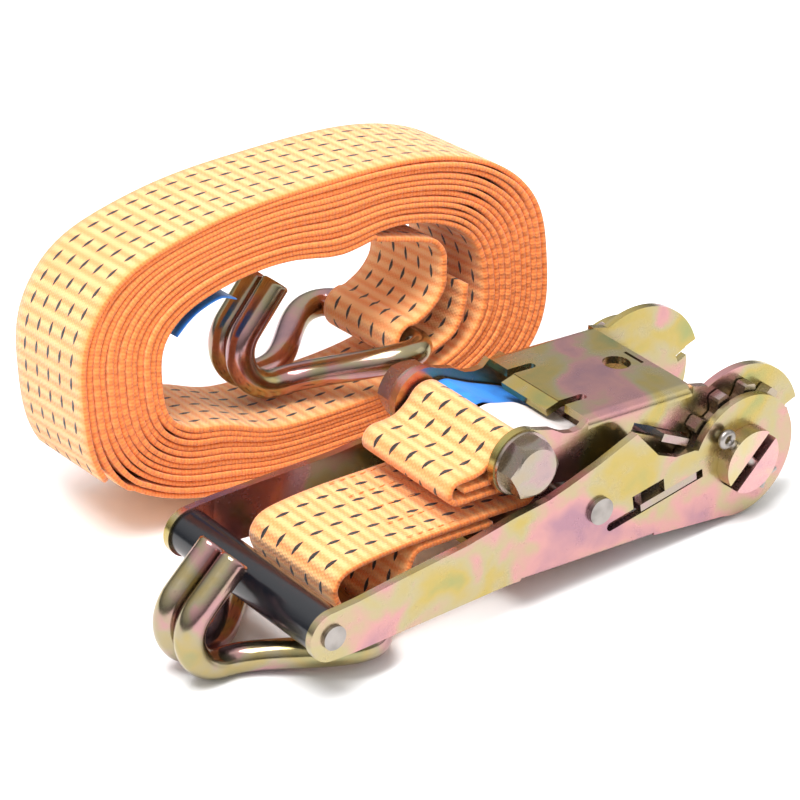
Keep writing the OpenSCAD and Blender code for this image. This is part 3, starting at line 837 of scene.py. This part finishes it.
def makeSpring(name, node, body, kind):
    sizes = springs[kind]
    low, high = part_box(node)
    middle = (low + high) / 2
    tilt = math.radians(sizes["tilt"])
    ahead = (-ratchetAlong * math.cos(tilt) - ratchetUp * math.sin(tilt)).normalized()
    start = middle - ahead * (sizes["length"] / 2) * mm
    end = middle + ahead * (sizes["length"] / 2) * mm
    other = Vector((0, 1, 0))
    third = ahead.cross(other).normalized()
    length, radius = sizes["length"] * mm, sizes["radius"] * mm
    count = springs["turns"] * springs["stepsPerTurn"]
    points = []
    for i in range(count + 1):
        t = 2 * math.pi * i / springs["stepsPerTurn"]
        around = (other * math.cos(t) + third * math.sin(t)) * radius
        points.append(start + ahead * (length * i / count) + around)
    piece = tubeMesh(name, points, springs["wire"] * mm, looks["spring_steel"], springs["sides"])
    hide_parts(node)
    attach(piece, body)
    return piece, ahead, end


def makeSprings():
    for word in ("near", "far"):
        node = "drive_spring_" + word
        piece, ahead, end = makeSpring("drive_coil_" + word, node, "handle", "drive")
        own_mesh(piece)
    makeSpring("lock_coil", "lock_spring", "frame", "lock")


makeSprings()
print("springs made")


# patches of sewing on the short strap, laid out by geometry nodes
stitch = {
    "rows": 5, "perRow": 7, "rowGap": 9.0, "stepGap": 4.0, "long": 3.0, "thick": 0.5,
    "segments": 10, "rings": 6,
    "skew": 0.12, "seed": 7,
    "thread": (0.98, 0.42, 0.14), "threadDeep": (0.80, 0.22, 0.05), "toneRange": (0.3, 0.7),
    "twist": 900, "relief": (0.3, 0.0002),
    "eyeAt": (68, 0, 18.2), "upperAt": (62, 0, 24.5),
}


def stitchTree(look, sizes):
    tree = bpy.data.node_groups.new("stitchRows", "GeometryNodeTree")
    for name, value in sizes.items():
        kind = "NodeSocketInt" if isinstance(value, int) else "NodeSocketFloat"
        tree.interface.new_socket(name, in_out="INPUT", socket_type=kind).default_value = value
    tree.interface.new_socket("Geometry", in_out="OUTPUT", socket_type="NodeSocketGeometry")
    sewing = Nodes(tree)
    group = tree.nodes.new("NodeGroupInput")
    given = {name: Sock(sewing, group.outputs[name]) for name in sizes}
    wide = given["Row Gap"] * given["Rows"]
    deep = given["Step"] * given["Per Row"]
    grid = sewing.add("GeometryNodeMeshGrid", values={
        "Size X": deep, "Size Y": wide, "Vertices X": given["Per Row"], "Vertices Y": given["Rows"]})
    ball = sewing.add("GeometryNodeMeshUVSphere", values={
        "Segments": stitch["segments"], "Rings": stitch["rings"], "Radius": 0.5})
    shape = sewing.add("ShaderNodeCombineXYZ", values={
        "X": given["Length"], "Y": given["Thick"], "Z": given["Thick"]})
    thread = sewing.add("GeometryNodeTransform", values={"Geometry": ball, "Scale": shape})
    spin = sewing.add("FunctionNodeRandomValue", {"data_type": "FLOAT_VECTOR"}, {
        "Min": (0, 0, -stitch["skew"]), "Max": (0, 0, stitch["skew"]), "Seed": stitch["seed"]})
    laid = sewing.add("GeometryNodeInstanceOnPoints", values={
        "Points": grid, "Instance": thread, "Rotation": spin})
    real = sewing.add("GeometryNodeRealizeInstances", values={"Geometry": laid})
    painted = sewing.add("GeometryNodeSetMaterial", values={"Geometry": real, "Material": look})
    done = tree.nodes.new("NodeGroupOutput")
    tree.links.new(painted.out, done.inputs["Geometry"])
    return tree


# lays one patch of stitches, makes it a plain mesh and sets it on the strap
def sewPatch(name, tree, sizes, turn, body):
    holder = bpy.data.objects.new(name + "_maker", bpy.data.meshes.new(name + "_maker"))
    bpy.context.scene.collection.objects.link(holder)
    modifier = holder.modifiers.new("stitches", "NODES")
    modifier.node_group = tree
    sockets = [item for item in tree.interface.items_tree if item.in_out == "INPUT"]
    for socket in sockets:
        modifier[socket.identifier] = sizes[socket.name]
    holder.update_tag()
    graph = bpy.context.evaluated_depsgraph_get()
    graph.update()
    mesh = bpy.data.meshes.new_from_object(holder.evaluated_get(graph))
    bpy.data.objects.remove(holder)
    mesh.transform(turn)
    mesh.polygons.foreach_set("use_smooth", [True] * len(mesh.polygons))
    piece = bpy.data.objects.new(name, mesh)
    bpy.context.scene.collection.objects.link(piece)
    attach(piece, body)


def makeStitching():
    look = Finish("sewingThread", Roughness=0.6, Sheen_Weight=0.2)
    tone = look.noise(look.objectPlace(), stitch["twist"], 2)
    shade = tone.ramp(*stitch["toneRange"])
    look.feed("Base Color", look.mix(shade, stitch["threadDeep"], stitch["thread"]))
    look.feed("Normal", look.bump(tone, *stitch["relief"]))
    sizes = {"Rows": stitch["rows"], "Per Row": stitch["perRow"],
             "Row Gap": stitch["rowGap"] * mm, "Step": stitch["stepGap"] * mm,
             "Length": stitch["long"] * mm, "Thick": stitch["thick"] * mm}
    tree = stitchTree(look.data, sizes)
    turn = Matrix((ratchetAlong, Vector((0, 1, 0)), ratchetUp)).transposed().to_4x4()
    for name, place in (("eye_stitches", "eyeAt"), ("upper_stitches", "upperAt")):
        middle = Matrix.Translation(onRatchet(*stitch[place]))
        sewPatch(name, tree, sizes, middle @ turn, "handle")


makeStitching()
print("sewing made")


studio = {
    "floor": 12.0,
    "floorTone": (0.93, 0.93, 0.93),
    "world": 1.0,
    "sky": [(0.00, 0.20), (0.10, 0.12), (0.30, 0.55), (0.65, 1.08)],     # height and brightness
    "key": {"place": (-0.5, -0.2, 1.7), "size": 1.0, "power": 40.0},
    "fill": {"place": (1.6, -1.2, 0.8), "size": 1.2, "power": 3.5},
}


def makeFloor():
    half = studio["floor"] / 2
    corners = [(-half, -half, 0), (half, -half, 0), (half, half, 0), (-half, half, 0)]
    mesh = bpy.data.meshes.new("floor")
    mesh.from_pydata(corners, [], [(0, 1, 2, 3)])
    look = Finish("floorWhite", Roughness=0.9)
    look.shader.inputs["Base Color"].default_value = (*studio["floorTone"], 1)
    mesh.materials.append(look.data)
    floor = bpy.data.objects.new("floor", mesh)
    bpy.context.scene.collection.objects.link(floor)


# a square light that faces the origin
def areaLight(name):
    light = studio[name]
    data = bpy.data.lights.new(name, "AREA")
    data.energy = light["power"]
    data.size = light["size"]
    lamp = bpy.data.objects.new(name, data)
    lamp.location = light["place"]
    lamp.rotation_euler = (-Vector(light["place"])).to_track_quat("-Z", "Y").to_euler()
    bpy.context.scene.collection.objects.link(lamp)


# pale overhead and darker near the horizon, so that the metal has something to reflect
def makeSky():
    world = bpy.data.worlds.new("studio")
    world.use_nodes = True
    sky = Nodes(world.node_tree)
    spot = sky.add("ShaderNodeTexCoord", out="Generated")
    height = sky.add("ShaderNodeSeparateXYZ", values={0: spot}, out="Z")
    stops = [(place, (level, level, level)) for place, level in studio["sky"]]
    tone = sky.add("ShaderNodeValToRGB", {"stops": stops}, {0: height})
    background = world.node_tree.nodes["Background"]
    world.node_tree.links.new(tone.out, background.inputs["Color"])
    background.inputs["Strength"].default_value = studio["world"]
    bpy.context.scene.world = world


makeFloor()
makeSky()
areaLight("key")
areaLight("fill")
bpy.context.scene.view_settings.view_transform = "Standard"
print("studio made")
